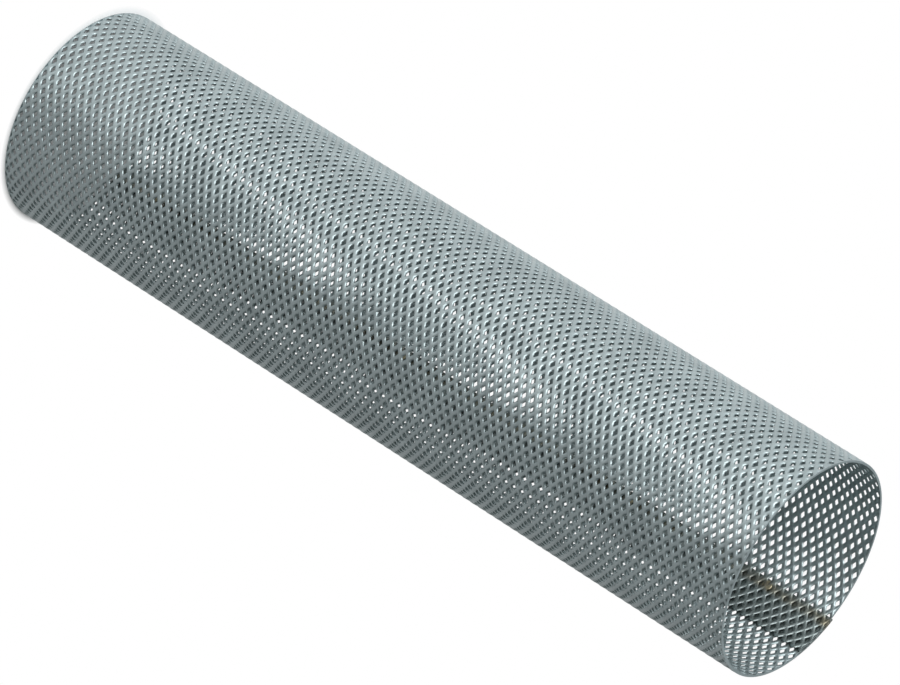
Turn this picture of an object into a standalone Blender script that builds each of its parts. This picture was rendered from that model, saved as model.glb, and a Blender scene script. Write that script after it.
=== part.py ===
"""Round filter: an open tube rolled from flattened expanded metal, lapped and spot-welded.

Frame: metres, +Z up along the tube's axis, the lower rim on z = 0, the axis through x = y = 0.
The blank is sheared straight through its mesh on all four edges. It is rolled until its last
centimetre lies over its first, and weld nuggets hold the two layers together there.
The real sheet has about 8,900 diamond openings, 3.3 mm apart round the tube and 2.1 mm apart
along it. This solid keeps their shape, their stagger and the share of the sheet that they open,
on a mesh four times as coarse.
"""

from math import cos, pi, radians, sin, sqrt

import bmesh
import bpy
from mathutils import Matrix, Vector
from mathutils.geometry import delaunay_2d_cdt

# Driving sizes
TUBE_DIAMETER = 0.048  # outside, over a single layer
TUBE_LENGTH = 0.196
SHEET_THICKNESS = 0.0005
LAP_WIDTH = 0.0102  # how far the outer edge of the sheet lies over the inner edge
LAP_CLEARANCE = 0.0003  # between the two layers
LAP_START_ANGLE = radians(52.8)  # of the inner edge, from +X towards +Y
ROWS_AROUND = 23  # in one turn; an odd number sets the lap's openings against solid knots
OPENINGS_PER_ROW = 22
OPENING_SCALE = 0.56  # an opening's length and height, as a share of its diamond cell's
WELD_COUNT = 6
WELD_DIAMETER = 0.0022
WELD_SIDES = 8
WELD_INSET = 0.0017  # of the weld line from the sheet's outer edge

# Sizes that follow
MEAN_RADIUS = (TUBE_DIAMETER - SHEET_THICKNESS) / 2
TURN_WIDTH = 2 * pi * MEAN_RADIUS
BLANK_WIDTH = TURN_WIDTH + LAP_WIDTH
CLIMB = SHEET_THICKNESS + LAP_CLEARANCE  # of the sheet's radius, in one turn
START_RADIUS = MEAN_RADIUS - CLIMB / 2
ROW_SPACING = TURN_WIDTH / ROWS_AROUND
OPENING_PITCH = TUBE_LENGTH / OPENINGS_PER_ROW
WELD_LINE = LAP_WIDTH - WELD_INSET  # from the sheet's inner edge
FIRST_ROW = WELD_LINE - 1.5 * ROW_SPACING  # puts the weld line halfway between two rows
RIM_STEP = ROW_SPACING / 2


def roll_angle(distance):
    """How far round the roll a point lies, from its distance across the flat blank."""
    return (sqrt(START_RADIUS**2 + CLIMB * distance / pi) - START_RADIUS) * 2 * pi / CLIMB


def rolled(distance, height, lift):
    """The place on the roll of a blank's point that lies lift above the middle of the sheet."""
    angle = roll_angle(distance)
    radius = START_RADIUS + CLIMB * angle / (2 * pi) + lift
    turn = LAP_START_ANGLE + angle
    return Vector((radius * cos(turn), radius * sin(turn), height))


def diamond_outline(centre):
    """The corners of an opening on the flat blank, counter-clockwise."""
    reach = ROW_SPACING * OPENING_SCALE
    rise = OPENING_PITCH / 2 * OPENING_SCALE
    corners = [(reach, 0), (0, rise), (-reach, 0), (0, -rise)]
    return [centre + Vector(corner) for corner in corners]


def opening_centres():
    """The staggered openings of the flat sheet: x across the sheet, y along the tube."""
    rows = int(BLANK_WIDTH / ROW_SPACING) + 3
    for row in range(rows):
        shift = row % 2 / 2
        for place in range(OPENINGS_PER_ROW + 1):
            yield Vector((FIRST_ROW + row * ROW_SPACING, (place - shift) * OPENING_PITCH))


def blank_outline():
    """The blank's four edges, counter-clockwise, with points along both rims for their curve."""
    steps = int(BLANK_WIDTH / RIM_STEP)
    along_rim = [step * RIM_STEP for step in range(steps + 1)] + [BLANK_WIDTH]
    lower = [Vector((x, 0)) for x in along_rim]
    upper = [Vector((x, TUBE_LENGTH)) for x in reversed(along_rim)]
    return lower + upper


def add_mesh_layer(blank):
    """Fills the sheared outline around its openings with one layer of faces."""
    points = blank_outline()
    loops = [list(range(len(points)))]
    for centre in opening_centres():
        corners = diamond_outline(centre)
        loops.append(list(range(len(points), len(points) + len(corners))))
        points += corners
    merge_distance = SHEET_THICKNESS / 1000
    spots, _, triangles, _, _, inside = delaunay_2d_cdt(points, [], loops, 0, merge_distance)
    verts = [blank.verts.new((spot.x, spot.y, -SHEET_THICKNESS / 2)) for spot in spots]
    for triangle, loops_around in zip(triangles, inside):
        if loops_around == [0]:
            blank.faces.new([verts[i] for i in triangle])
    unused = [vert for vert in blank.verts if not vert.link_faces]
    bmesh.ops.delete(blank, geom=unused, context="VERTS")


def add_sheet():
    """The sheet, given its thickness while flat and then rolled."""
    sheet = bmesh.new()
    add_mesh_layer(sheet)
    extruded = bmesh.ops.extrude_face_region(sheet, geom=sheet.faces[:], use_keep_orig=True)
    top = [part for part in extruded["geom"] if isinstance(part, bmesh.types.BMVert)]
    bmesh.ops.translate(sheet, verts=top, vec=(0, 0, SHEET_THICKNESS))
    for vert in sheet.verts:
        vert.co = rolled(*vert.co)
    bmesh.ops.recalc_face_normals(sheet, faces=sheet.faces)
    return new_object("mesh_tube", sheet)


def add_weld_nuggets():
    """A row of short slugs that fuse the lap's two layers where their strands cross."""
    pitches_apart = OPENINGS_PER_ROW / WELD_COUNT
    nuggets = bmesh.new()
    for weld in range(WELD_COUNT):
        place = int((weld + 0.5) * pitches_apart) + 0.25
        inner = rolled(WELD_LINE, place * OPENING_PITCH, 0)
        outward = Vector((inner.x, inner.y, 0)).normalized()
        stand = Matrix.Translation(inner + outward * CLIMB / 2)
        stand @= outward.to_track_quat("Z", "Y").to_matrix().to_4x4()
        bmesh.ops.create_cone(
            nuggets,
            cap_ends=True,
            segments=WELD_SIDES,
            radius1=WELD_DIAMETER / 2,
            radius2=WELD_DIAMETER / 2,
            depth=CLIMB,
            matrix=stand,
        )
    return new_object("weld_nuggets", nuggets)


def new_object(name, shape):
    """Turns a bmesh into a named object of the scene."""
    mesh = bpy.data.meshes.new(name)
    shape.to_mesh(mesh)
    shape.free()
    obj = bpy.data.objects.new(name, mesh)
    bpy.context.scene.collection.objects.link(obj)
    return obj


def weld(sheet, nuggets):
    """Joins the nuggets to the sheet, which makes the roll one body."""
    nuggets.hide_render = True
    nuggets.display_type = "WIRE"
    joint = sheet.modifiers.new("spot_welds", "BOOLEAN")
    joint.operation = "UNION"
    joint.solver = "EXACT"
    joint.object = nuggets


def stainless_steel():
    """Bright mill finish, greyed a little by handling."""
    material = bpy.data.materials.new("stainless_steel_sheet")
    material.use_nodes = True
    surface = material.node_tree.nodes["Principled BSDF"]
    surface.inputs["Base Color"].default_value = (0.55, 0.58, 0.58, 1)
    surface.inputs["Metallic"].default_value = 1
    surface.inputs["Roughness"].default_value = 0.32
    return material


def main():
    for old in list(bpy.data.objects):
        bpy.data.objects.remove(old)
    sheet = add_sheet()
    sheet.data.materials.append(stainless_steel())
    sheet.data.shade_smooth()
    sheet.data.set_sharp_from_angle(angle=radians(30))
    weld(sheet, add_weld_nuggets())


main()
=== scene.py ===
# %% [markdown]
# # A round filter: expanded metal, rolled into a tube
#
# The object is one piece of sheet metal. Stainless strip is slit and stretched into a mesh of
# small diamond openings, rolled flat again, sheared to size straight through the mesh, rolled into
# a tube and spot-welded where its two edges lap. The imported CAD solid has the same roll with
# openings about four times as large. This lesson replaces it with the mesh at its real fineness,
# then lights and frames it as in a catalogue.

# %% Load the CAD solid
from math import cos, pi, radians, sin

import bpy
import numpy as np
from mathutils import Matrix, Vector


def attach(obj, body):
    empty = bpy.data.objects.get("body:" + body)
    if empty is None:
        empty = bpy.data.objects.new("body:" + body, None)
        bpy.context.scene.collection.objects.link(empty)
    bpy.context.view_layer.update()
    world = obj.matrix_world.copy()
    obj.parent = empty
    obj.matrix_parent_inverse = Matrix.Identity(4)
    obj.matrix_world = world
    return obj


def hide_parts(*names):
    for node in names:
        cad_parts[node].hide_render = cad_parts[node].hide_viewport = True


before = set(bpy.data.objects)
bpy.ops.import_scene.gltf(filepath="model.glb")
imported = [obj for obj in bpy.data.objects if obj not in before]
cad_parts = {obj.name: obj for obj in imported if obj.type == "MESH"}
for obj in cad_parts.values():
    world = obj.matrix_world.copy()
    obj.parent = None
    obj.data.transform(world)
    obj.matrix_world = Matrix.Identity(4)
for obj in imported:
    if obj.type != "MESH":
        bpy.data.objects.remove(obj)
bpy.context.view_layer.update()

# %% [markdown]
# ## The camera
#
# The tube hardly tapers in the photograph, so it is seen through a long lens. The camera's place
# and turn come from a fit to both rims and both sides of the tube in the picture. It looks down at
# about 29 degrees and is rolled far over, which makes the standing tube lie slantwise in the
# picture. The three vectors are the camera's own axes.

# %% Camera
CAMERA_PLACE = (0, -1.2293, 0.7935)
CAMERA_RIGHT = Vector((-0.53424, 0.41417, 0.73692))
CAMERA_UP = Vector((-0.84533, -0.26207, -0.46554))
CAMERA_BACK = Vector((0.0003, -0.87165, 0.49012))
LENS_MM = 280
FAR_LIMIT = 20

camera_lens = bpy.data.cameras.new("camera")
camera_lens.lens = LENS_MM
camera_lens.clip_end = FAR_LIMIT
camera = bpy.data.objects.new("camera", camera_lens)
bpy.context.collection.objects.link(camera)
camera.matrix_world = Matrix((CAMERA_RIGHT, CAMERA_UP, CAMERA_BACK)).transposed().to_4x4()
camera.location = CAMERA_PLACE
bpy.context.scene.camera = camera
bpy.context.scene.view_settings.view_transform = "Standard"
print("the camera looks from", CAMERA_PLACE, "through a lens of", LENS_MM, "mm")

# %% [markdown]
# ## Sizes of the roll and its mesh
#
# The sizes of the roll and the places of its welds are the CAD part's own. The openings are
# diamonds, long round the tube and short along it, and each row is set off by half an opening
# against the row before it. About 46 openings were counted round the tube, which makes 91 or 92
# rows. 91 was chosen: with an odd number, the openings of one layer lie against the solid knots of
# the other in the lap, which looks closed in the photograph. How much of its tile an opening takes
# was found by trying, until the mesh looked about as open as the photograph's.

# %% Sizes
TUBE_DIAMETER = 0.048
TUBE_LENGTH = 0.196
SHEET_THICKNESS = 0.0005
LAP_WIDTH = 0.0102
LAP_CLEARANCE = 0.0003
LAP_START_ANGLE = radians(52.8)
WELD_INSET = 0.0017
WELD_DIAMETER = 0.0022
WELD_HEIGHTS = [0.0111, 0.0468, 0.0824, 0.1091, 0.1448, 0.1804]

MEAN_RADIUS = (TUBE_DIAMETER - SHEET_THICKNESS) / 2
TURN_WIDTH = 2 * pi * MEAN_RADIUS
BLANK_WIDTH = TURN_WIDTH + LAP_WIDTH
CLIMB = SHEET_THICKNESS + LAP_CLEARANCE
START_RADIUS = MEAN_RADIUS - CLIMB / 2
WELD_ANGLE = LAP_START_ANGLE + (LAP_WIDTH - WELD_INSET) / MEAN_RADIUS

ROWS_AROUND = 91
ROW_SPACING = TURN_WIDTH / ROWS_AROUND
OPENING_PITCH = 0.002147
OPENING_SCALE = 0.56
print("openings, about:", round(BLANK_WIDTH / ROW_SPACING * TUBE_LENGTH / OPENING_PITCH))

# %% [markdown]
# ## One opening and the strands round it
#
# A pattern that repeats thousands of times is modelled once. The smallest tile here is one
# opening with the metal up to the middle of the four strands round it, which makes a diamond. It
# has three rings of eight points each: the opening's edge with blunted tips, the shoulder where
# the rounded edge ends, and the tile's corners with the middles of its sides.

# %% The tile's three rings
TIP_BLUNTING = 0.94
SIDE_BULGE = 1.05
SHOULDER_BLUNTING = 0.98
SHOULDER_PLACE = 0.4


def diamond(tip, painted_reflection_side):
    """Eight points: the tips and the side middles of the tile's diamond, each drawn in."""
    reach, rise = ROW_SPACING, OPENING_PITCH / 2
    ring = []
    for x, y in [(1, 0), (0, 1), (-1, 0), (0, -1)]:
        ring.append(Vector((x * reach, y * rise, 0)) * tip)
        ring.append(Vector(((x - y) * reach, (x + y) * rise, 0)) / 2 * painted_reflection_side)
    return ring


shoulder = OPENING_SCALE + (1 - OPENING_SCALE) * SHOULDER_PLACE
opening_edge = diamond(OPENING_SCALE * TIP_BLUNTING, OPENING_SCALE * SIDE_BULGE)
rounded_shoulder = diamond(shoulder * SHOULDER_BLUNTING, shoulder)
tile_outline = diamond(1, 1)
rings = [opening_edge, rounded_shoulder, tile_outline]
print("length of the three rings, mm:", [round(2000 * ring[0].x, 2) for ring in rings])

# %% [markdown]
# A circle of eight corners is moved onto the first ring, then its rim is extruded onto the second
# and the third. Each ring carries two numbers for later. The vertex group says what share of the
# sheet's thickness is left there, and Solidify reads it, which rounds the strands over. The
# attribute says how far the strand's twist lifts the point: the lower edge of an opening stands
# out, its upper edge lies in, and the middle of a strand stays where it is.

# %% One tile
CIRCLE_RADIUS = 0.001
RING_THICKNESS = [0.45, 0.85, 1]
RING_TWIST = [1, 0.6, 0]
SIDE_TWIST = [0, -0.8, -1, -0.8, 0, 0.8, 1, 0.8]

bpy.ops.object.select_all(action="DESELECT")
bpy.ops.mesh.primitive_circle_add(vertices=8, radius=CIRCLE_RADIUS)
sheet = bpy.context.object
sheet.name = sheet.data.name = "flat_mesh"
thickness_group = sheet.vertex_groups.new(name="thickness")
before = [Vector((cos(i * pi / 4), sin(i * pi / 4), 0)) * CIRCLE_RADIUS for i in range(8)]
twists = {}
for step, ring in enumerate(rings):
    if step:
        bpy.ops.object.mode_set(mode="EDIT")
        bpy.ops.mesh.extrude_edges_move()
        bpy.ops.object.mode_set(mode="OBJECT")
    corners = [corner for corner in sheet.data.vertices if corner.select]
    indices = [corner.index for corner in corners]
    thickness_group.add(indices, RING_THICKNESS[step], "REPLACE")
    for corner in corners:
        place = min(range(8), key=lambda i: (before[i] - corner.co).length)
        corner.co = ring[place]
        twists[corner.index] = RING_TWIST[step] * SIDE_TWIST[place]
    before = ring
twist = sheet.data.attributes.new("twist", "FLOAT", "POINT")
twist.data.foreach_set("value", [twists[i] for i in range(len(twists))])
print("one tile has", len(sheet.data.polygons), "faces")

# %% [markdown]
# ## The flat blank
#
# Three Array modifiers lay out the whole sheet: two staggered tiles, a strip of such pairs along
# the tube, and the strips side by side. Then the sheet is sheared. Bisect cuts it on four lines
# and clears what lies outside them, so the edges run straight through the openings.

# %% Flat blank
MERGE_DISTANCE = 0.00002
BISECT_PRECISION = 0.000001
FIRST_ROW = -0.0002
FIRST_OPENING = -0.0002
RIM_MARGIN = 0.00012


def take(piece):
    """Selects one piece alone, so that operators act on nothing else."""
    bpy.ops.object.select_all(action="DESELECT")
    piece.select_set(True)
    bpy.context.view_layer.objects.active = piece


def array(piece, count, offset):
    """Repeats a piece along an offset and welds each copy to the one before it."""
    layout = piece.modifiers.new("layout", "ARRAY")
    layout.count = count
    layout.use_relative_offset = False
    layout.use_constant_offset = True
    layout.constant_offset_displace = offset
    layout.use_merge_vertices = True
    layout.merge_threshold = MERGE_DISTANCE
    bpy.ops.object.modifier_apply(modifier=layout.name)


def shear(piece, place, outward):
    """Cuts a piece on a line and clears the side that outward points to."""
    take(piece)
    bpy.ops.object.mode_set(mode="EDIT")
    bpy.ops.mesh.select_all(action="SELECT")
    bpy.ops.mesh.bisect(
        plane_co=place, plane_no=outward, clear_outer=True, threshold=BISECT_PRECISION
    )
    bpy.ops.object.mode_set(mode="OBJECT")


array(sheet, 2, (ROW_SPACING, OPENING_PITCH / 2, 0))
array(sheet, int(TUBE_LENGTH / OPENING_PITCH) + 3, (0, OPENING_PITCH, 0))
array(sheet, int(BLANK_WIDTH / ROW_SPACING / 2) + 2, (2 * ROW_SPACING, 0, 0))
sheet.data.transform(Matrix.Translation((FIRST_ROW, FIRST_OPENING - OPENING_PITCH, 0)))
shear(sheet, (0, 0, 0), (-1, 0, 0))
shear(sheet, (BLANK_WIDTH, 0, 0), (1, 0, 0))
shear(sheet, (0, RIM_MARGIN / 2, 0), (0, -1, 0))
shear(sheet, (0, TUBE_LENGTH - RIM_MARGIN / 2, 0), (0, 1, 0))
print("the flat blank has", len(sheet.data.polygons), "faces")

# %% [markdown]
# Along both rims the photograph shows a clean line instead of cut teeth, so a hair of plain margin
# is joined on there. It is a trace thinner than the mesh that it laps, which keeps their faces
# apart.

# %% Plain margin of the rims
MARGIN_THICKNESS = 0.96
MARGIN_STEPS = 200

margins = []
for along in (RIM_MARGIN / 2, TUBE_LENGTH - RIM_MARGIN / 2):
    bpy.ops.object.select_all(action="DESELECT")
    bpy.ops.mesh.primitive_grid_add(x_subdivisions=MARGIN_STEPS, y_subdivisions=1, size=1)
    margin = bpy.context.object
    margin.data.transform(Matrix.Diagonal((BLANK_WIDTH, RIM_MARGIN, 1, 1)))
    margin.data.transform(Matrix.Translation((BLANK_WIDTH / 2, along, 0)))
    points = range(len(margin.data.vertices))
    margin.vertex_groups.new(name="thickness").add(points, MARGIN_THICKNESS, "REPLACE")
    margins.append(margin)
take(sheet)
for margin in margins:
    margin.select_set(True)
bpy.ops.object.join()
print("with its margins it has", len(sheet.data.polygons), "faces")

# %% [markdown]
# ## From flat sheet to rolled tube
#
# Code moves each vertex from the flat sheet onto a spiral. Bend would roll it onto a circle, and
# the lap needs a radius that grows by one sheet and one clearance in a turn.
#
# In the photograph the near wall looks nearly closed and the far wall open. Slitting and stretching
# would explain that: it twists every strand, and flattening doesn't quite undo it. So the openings
# run through the sheet at a slant here, with the outer skin set a little towards the lower rim and
# the inner skin towards the upper one. A trace of the twist is left too, and the attribute of the
# tile says where it lifts the sheet. How strong both are is given. They fade out close to the rims,
# which are sheared square.

# %% The roll
SLANT = 1.15
TWIST = 0.00016
FLAT_RIM = 0.0004


def rolled(flat, twist):
    """Moves an array of flat points (across, along, lift) onto the spiral."""
    across, along, lift = flat.T
    from_rim = np.minimum(along, TUBE_LENGTH - along)
    ease = np.clip(from_rim / FLAT_RIM, 0, 1)
    angle = (np.sqrt(START_RADIUS**2 + CLIMB * across / pi) - START_RADIUS) * 2 * pi / CLIMB
    radius = START_RADIUS + CLIMB * angle / (2 * pi) + lift + TWIST * twist * ease
    turn = LAP_START_ANGLE + angle
    height = along - SLANT * lift * ease
    return np.stack([radius * np.cos(turn), radius * np.sin(turn), height], axis=1)


corner_points = np.array([[0, 0, 0], [BLANK_WIDTH, 0, 0]])
print("the blank's two edges, mm:", np.round(1000 * rolled(corner_points, 0), 1).tolist())

# %% [markdown]
# The sheet is too large for one mesh, so it is cut across into bands. Each band gets its thickness
# from Solidify while it is flat, which also closes every opening's wall, and is rolled then. The
# strands' rounded edges stay smooth in shading, and the sheared edges are marked sharp.

# %% Bands
BANDS = 4
SQUARE = 0.9999


def numbers(items, what, width):
    """One property of all of a mesh's elements, as an array."""
    found = np.zeros(len(items) * width, dtype=np.float32)
    items.foreach_get(what, found)
    return found.reshape(-1, width)


def thicken(piece):
    """Gives a flat sheet its thickness to both sides."""
    take(piece)
    wall = piece.modifiers.new("wall", "SOLIDIFY")
    wall.thickness = SHEET_THICKNESS
    wall.offset = 0
    wall.vertex_group = "thickness"
    bpy.ops.object.modifier_apply(modifier=wall.name)


def mark_sheared_edges(piece):
    """Marks the edges of the straight cuts sharp. Only their faces point along X or Y."""
    normals = numbers(piece.data.polygons, "normal", 3)
    cut = (np.abs(normals[:, 0]) > SQUARE) | (np.abs(normals[:, 1]) > SQUARE)
    bpy.ops.object.mode_set(mode="EDIT")
    bpy.ops.mesh.select_mode(type="FACE")
    bpy.ops.mesh.select_all(action="DESELECT")
    bpy.ops.object.mode_set(mode="OBJECT")
    piece.data.polygons.foreach_set("select", cut)
    bpy.ops.object.mode_set(mode="EDIT")
    bpy.ops.mesh.mark_sharp()
    bpy.ops.object.mode_set(mode="OBJECT")


bands = []
for number in range(BANDS):
    band = sheet.copy()
    band.data = sheet.data.copy()
    band.name = band.data.name = f"expanded_mesh_{number + 1}"
    bpy.context.collection.objects.link(band)
    if number:
        shear(band, (0, number * TUBE_LENGTH / BANDS, 0), (0, -1, 0))
    if number < BANDS - 1:
        shear(band, (0, (number + 1) * TUBE_LENGTH / BANDS, 0), (0, 1, 0))
    thicken(band)
    mark_sheared_edges(band)
    band.data.shade_smooth()
    flat = numbers(band.data.vertices, "co", 3)
    twist = numbers(band.data.attributes["twist"].data, "value", 1)[:, 0]
    band.data.vertices.foreach_set("co", rolled(flat, twist).astype(np.float32).ravel())
    band.data.update()
    bands.append(band)
    band.data.calc_loop_triangles()
    print(band.name, "has", len(band.data.loop_triangles), "triangles")
bpy.data.objects.remove(sheet)

# %% [markdown]
# ## Stainless steel, mill finish
#
# Cold-rolled stainless sheet is a cool grey metal with a soft sheen. Stretching and flattening
# leave it slightly uneven, so its colour has faint clouds a few millimetres wide and a fine grain,
# which also breaks up the sheen. Two small functions serve all materials here: one turns a hex
# colour into the linear values that nodes take, and one adds a node.

# %% Colours and nodes
def linear(hex_colour):
    """An sRGB hex colour as linear red, green, blue and a full alpha."""
    parts = [int(hex_colour[i : i + 2], 16) / 255 for i in (0, 2, 4)]
    parts = [part / 12.92 if part <= 0.04045 else ((part + 0.055) / 1.055) ** 2.4 for part in parts]
    return (*parts, 1)


def add_node(tree, kind, inputs, output=0, **settings):
    """Adds a node and returns one of its outputs. Inputs take values, hex colours or sockets."""
    node = tree.nodes.new("ShaderNode" + kind)
    for name, value in settings.items():
        setattr(node, name, value)
    for name, value in inputs.items():
        if isinstance(value, bpy.types.NodeSocket):
            tree.links.new(value, node.inputs[name])
        else:
            node.inputs[name].default_value = linear(value) if isinstance(value, str) else value
    return node.outputs[output]


print("white is", linear("ffffff"))

# %% [markdown]
# The clouds run between two greys, and the grain darkens the result a little. Rolled grain is
# really finer than a tenth of a millimetre. It is drawn at 0.3 mm, so that it shows. A noise
# pattern keeps near its middle value of 0.5, so Map Range stretches the part around it.

# %% Sheet steel
STEEL_LIGHT = "b5c2c4"
STEEL_DARK = "a2aeb0"
CLOUD_SIZE = 0.006
GRAIN_SIZE = 0.0003
GRAIN_SHARE = 0.5
ROUGHNESS_LOW = 0.36
ROUGHNESS_HIGH = 0.5
NOISE_LOW = 0.3
NOISE_HIGH = 0.7

# Stainless steel, cold-rolled: a metal that mirrors the room softly, in a cool grey.
steel = bpy.data.materials.new("stainless_steel_mill_finish")
steel.use_nodes = True
tree = steel.node_tree
surface = tree.nodes["Principled BSDF"]
surface.inputs["Metallic"].default_value = 1
place = add_node(tree, "TexCoord", {}, "Object")
clouds = add_node(tree, "TexNoise", {"Vector": place, "Scale": 1 / CLOUD_SIZE, "Detail": 3})
grain = add_node(tree, "TexNoise", {"Vector": place, "Scale": 1 / GRAIN_SIZE, "Detail": 2})

stretch = {"From Min": NOISE_LOW, "From Max": NOISE_HIGH}
cloudy = add_node(tree, "MapRange", {"Value": clouds, **stretch})
grainy = add_node(
    tree, "MapRange", {"Value": grain, "From Min": 0.35, "From Max": 0.65, "To Max": GRAIN_SHARE}
)
colour = add_node(tree, "Mix", {0: cloudy, 6: STEEL_DARK, 7: STEEL_LIGHT}, 2, data_type="RGBA")
colour = add_node(tree, "Mix", {0: grainy, 6: colour, 7: STEEL_DARK}, 2, data_type="RGBA")
sheen = {"To Min": ROUGHNESS_LOW, "To Max": ROUGHNESS_HIGH}
roughness = add_node(tree, "MapRange", {"Value": grain, **stretch, **sheen})
tree.links.new(roughness, surface.inputs["Roughness"])
print("steel with clouds of", 1000 * CLOUD_SIZE, "mm and grain of", 1000 * GRAIN_SIZE, "mm")

# %% [markdown]
# In the lap the metal is painted darker: painted shade, which stands in for the shade between the
# two layers. The spot welds have left a strip of straw-brown heat tint along their line, broken up
# by the clouds. Both follow the angle round the tube's axis, which comes from the object's own
# coordinates.

# %% Painted lap shade and heat tint
LAP_SHADE_COLOUR = "6a706b"
LAP_SHADE_SHARE = 0.5
LAP_SHADE_EDGE = 0.02
HEAT_TINT = "868272"
TINT_WIDTH = 0.0016
TINT_CORE = 0.3

x = add_node(tree, "SeparateXYZ", {0: place}, "X")
y = add_node(tree, "SeparateXYZ", {0: place}, "Y")
angle = add_node(tree, "Math", {0: y, 1: x}, operation="ARCTAN2")


def angle_from(line):
    """How far round the axis a point lies from a line on the tube."""
    offset = add_node(tree, "Math", {0: angle, 1: line}, operation="SUBTRACT")
    return add_node(tree, "Math", {0: offset}, operation="ABSOLUTE")


# Painted shade: the lap is darkened towards a dim grey-green, standing in for the shade between its
# two layers.
half_lap = LAP_WIDTH / MEAN_RADIUS / 2
fade = {"From Min": half_lap, "From Max": half_lap + LAP_SHADE_EDGE, "To Min": LAP_SHADE_SHARE, "To Max": 0}
lap_shade = add_node(tree, "MapRange", {"Value": angle_from(LAP_START_ANGLE + half_lap), **fade})
colour = add_node(tree, "Mix", {0: lap_shade, 6: colour, 7: LAP_SHADE_COLOUR}, 2, data_type="RGBA")

tint_angle = TINT_WIDTH / MEAN_RADIUS
fade = {"From Min": TINT_CORE * tint_angle, "From Max": tint_angle, "To Min": 1, "To Max": 0}
tint = add_node(tree, "MapRange", {"Value": angle_from(WELD_ANGLE), **fade})
broken = add_node(tree, "MapRange", {"Value": clouds, "From Min": 0.3, "From Max": 0.6})
tint = add_node(tree, "Math", {0: tint, 1: broken}, operation="MULTIPLY")
colour = add_node(tree, "Mix", {0: tint, 6: colour, 7: HEAT_TINT}, 2, data_type="RGBA")
tree.links.new(colour, surface.inputs["Base Color"])
for band in bands:
    band.data.materials.append(steel)
print("the tinted strip is", round(2000 * TINT_WIDTH, 1), "mm wide, on", len(bands), "bands")

# %% [markdown]
# ## The spot welds
#
# A row of weld nuggets holds the lap. Each is a small disc, melted through both layers and pressed
# in a little on both faces. One is modelled and beveled, and its copies go to the CAD part's
# places.

# %% Spot welds
NUGGET_DEPTH = CLIMB + 0.7 * SHEET_THICKNESS
NUGGET_ROUNDING = 0.00012
NUGGET_COLOUR = "b3aa90"
NUGGET_ROUGHNESS = 0.3

# Stainless steel, melted and heat-tinted: smoother than the sheet, and straw-coloured.
tinted = bpy.data.materials.new("heat_tinted_stainless_steel")
tinted.use_nodes = True
surface = tinted.node_tree.nodes["Principled BSDF"]
surface.inputs["Base Color"].default_value = linear(NUGGET_COLOUR)
surface.inputs["Metallic"].default_value = 1
surface.inputs["Roughness"].default_value = NUGGET_ROUGHNESS

bpy.ops.object.select_all(action="DESELECT")
bpy.ops.mesh.primitive_cylinder_add(vertices=24, radius=WELD_DIAMETER / 2, depth=NUGGET_DEPTH)
nugget = bpy.context.object
bpy.ops.object.mode_set(mode="EDIT")
bpy.ops.mesh.select_all(action="SELECT")
bpy.ops.mesh.bevel(offset=NUGGET_ROUNDING, segments=2)
bpy.ops.object.mode_set(mode="OBJECT")
nugget.data.materials.append(tinted)
nugget.data.shade_smooth()
nugget.data.set_sharp_from_angle(angle=radians(50))

welds = []
outward = Vector((cos(WELD_ANGLE), sin(WELD_ANGLE), 0))
for number, height in enumerate(WELD_HEIGHTS, start=1):
    weld = nugget.copy()
    weld.data = nugget.data.copy()
    weld.name = weld.data.name = f"weld_nugget_{number}"
    bpy.context.collection.objects.link(weld)
    stand = Matrix.Translation(outward * MEAN_RADIUS + Vector((0, 0, height)))
    weld.data.transform(stand @ outward.to_track_quat("Z", "Y").to_matrix().to_4x4())
    welds.append(weld)
bpy.data.objects.remove(nugget)
print(len(welds), "weld nuggets")

# %% [markdown]
# ## The white ground
#
# The picture has a pure white ground, and the steel mirrors it. So the ground is plain matt paper
# for the light that falls on it, which keeps the object's shadow, and it glows for the camera and
# for reflections. Close to the tube's foot the paper shows. In reflections the glow is a painted
# reflection: white on the side of -X and grey on the side of +X, standing in for light that falls
# on the tube from the side of -X.

# %% White ground
GROUND_SIZE = 12
GROUND_DROP = 0.0001
PAPER_WHITE = "f0f0f0"
SHADOW_START = 0.0242
SHADOW_END = 0.0256
FOOT_LEVEL = 0.06
WHITE_SIDE = -0.004
GREY_SIDE = 0.004
GREY_LEVEL = 0.52

bpy.ops.object.select_all(action="DESELECT")
bpy.ops.mesh.primitive_plane_add(size=GROUND_SIZE, location=(0, 0, -GROUND_DROP))
floor = bpy.context.object
floor.name = floor.data.name = "floor"

# Matt paper that throws light back evenly, with no sheen, mixed with a glow for the camera and for
# reflections. In reflections the glow is a painted reflection, white on the side of -X and grey on
# the side of +X.
paper = bpy.data.materials.new("white_paper")
paper.use_nodes = True
tree = paper.node_tree
tree.nodes.remove(tree.nodes["Principled BSDF"])
place = add_node(tree, "TexCoord", {}, "Object")
to_camera = add_node(tree, "LightPath", {}, "Is Camera Ray")
mirrored = add_node(tree, "LightPath", {}, "Is Glossy Ray")
seen = add_node(tree, "Math", {0: to_camera, 1: mirrored}, operation="MAXIMUM")
distance = add_node(tree, "VectorMath", {0: place}, "Value", operation="LENGTH")
foot = {"From Min": SHADOW_START, "From Max": SHADOW_END, "To Min": FOOT_LEVEL}
beyond = add_node(tree, "MapRange", {"Value": distance, **foot})
share = add_node(tree, "Math", {0: seen, 1: beyond}, operation="MULTIPLY")

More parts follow.
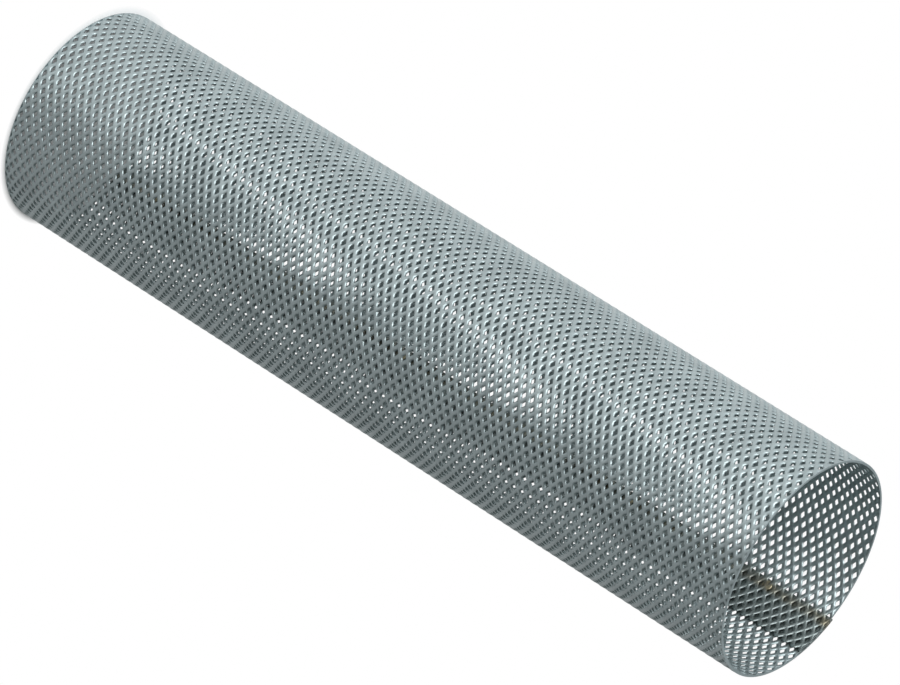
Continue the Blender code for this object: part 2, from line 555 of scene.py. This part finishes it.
# Painted reflection: for glossy rays the ground's glow is white on the side of -X and grey on the
# side of +X.
across = add_node(tree, "SeparateXYZ", {0: place}, "X")
sides = {"From Min": WHITE_SIDE, "From Max": GREY_SIDE, "To Min": 1, "To Max": GREY_LEVEL}
painted_reflection_side = add_node(tree, "MapRange", {"Value": across, **sides})
strength = add_node(tree, "Math", {0: painted_reflection_side, 1: to_camera}, operation="MAXIMUM")
matt = add_node(tree, "BsdfDiffuse", {"Color": PAPER_WHITE})
glow = add_node(tree, "Emission", {"Strength": strength})
mixed = add_node(tree, "MixShader", {0: share, 1: matt, 2: glow})
tree.links.new(mixed, tree.nodes["Material Output"].inputs["Surface"])
floor.data.materials.append(paper)
print("the paper shows up to", round(1000 * SHADOW_END, 1), "mm from the axis")

# %% [markdown]
# ## Light
#
# One broad softbox stands over the camera's shoulder, turned a little towards -X. An azimuth of 0
# is the camera's side of the tube, and 90 degrees is +X.

# %% Softbox
KEY_AZIMUTH = radians(-32)
KEY_ELEVATION = radians(36)
KEY_DISTANCE = 1.5
KEY_SIZE = 1.4
KEY_POWER = 20

lamp = bpy.data.lights.new("key_softbox", "AREA")
lamp.size = KEY_SIZE
lamp.energy = KEY_POWER
softbox = bpy.data.objects.new("key_softbox", lamp)
bpy.context.collection.objects.link(softbox)
level = cos(KEY_ELEVATION)
outward = Vector((sin(KEY_AZIMUTH) * level, -cos(KEY_AZIMUTH) * level, sin(KEY_ELEVATION)))
softbox.location = Vector((0, 0, TUBE_LENGTH / 2)) + KEY_DISTANCE * outward
softbox.rotation_euler = outward.to_track_quat("Z", "Y").to_euler()
print("the softbox stands at", [round(part, 2) for part in softbox.location])

# %% [markdown]
# The rest of the light is the room itself: bright and slightly blue on the side of -X, where the
# ground's painted reflection is white, dim and slightly green on the other. A metal shows mostly
# what it mirrors, so this slope from bright to dim shapes the tube. The camera sees plain white in
# its place. The numbers of the light, of the ground's reflection and of the steel's greys were
# found by trying, until the tones on the tube came near the photograph's.

# %% Room
ROOM_DIRECTION = (-0.85, 0.2, 0.2)
ROOM_DIM = "59605e"
ROOM_BRIGHT = "fafdff"
DIM_FROM = -0.2
BRIGHT_FROM = 0.8

world = bpy.data.worlds.new("studio")
bpy.context.scene.world = world
world.use_nodes = True
tree = world.node_tree
direction = add_node(tree, "TexCoord", {}, "Generated")
bright_way = Vector(ROOM_DIRECTION).normalized()
toward = add_node(
    tree, "VectorMath", {0: direction, 1: bright_way}, "Value", operation="DOT_PRODUCT"
)
slope = add_node(
    tree, "MapRange", {"Value": toward, "From Min": DIM_FROM, "From Max": BRIGHT_FROM}
)
room = add_node(tree, "Mix", {0: slope, 6: ROOM_DIM, 7: ROOM_BRIGHT}, 2, data_type="RGBA")
to_camera = add_node(tree, "LightPath", {}, "Is Camera Ray")
backdrop = add_node(tree, "Mix", {0: to_camera, 6: room, 7: "ffffff"}, 2, data_type="RGBA")
tree.links.new(backdrop, tree.nodes["Background"].inputs["Color"])
print("the room is bright towards", ROOM_DIRECTION)

# %% [markdown]
# ## Hand over to the frame
#
# Every band and every nugget takes the place of the one CAD solid and rides on its body.

# %% Frame
for piece in bands + welds:
    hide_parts("mesh_tube")
    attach(piece, "root")
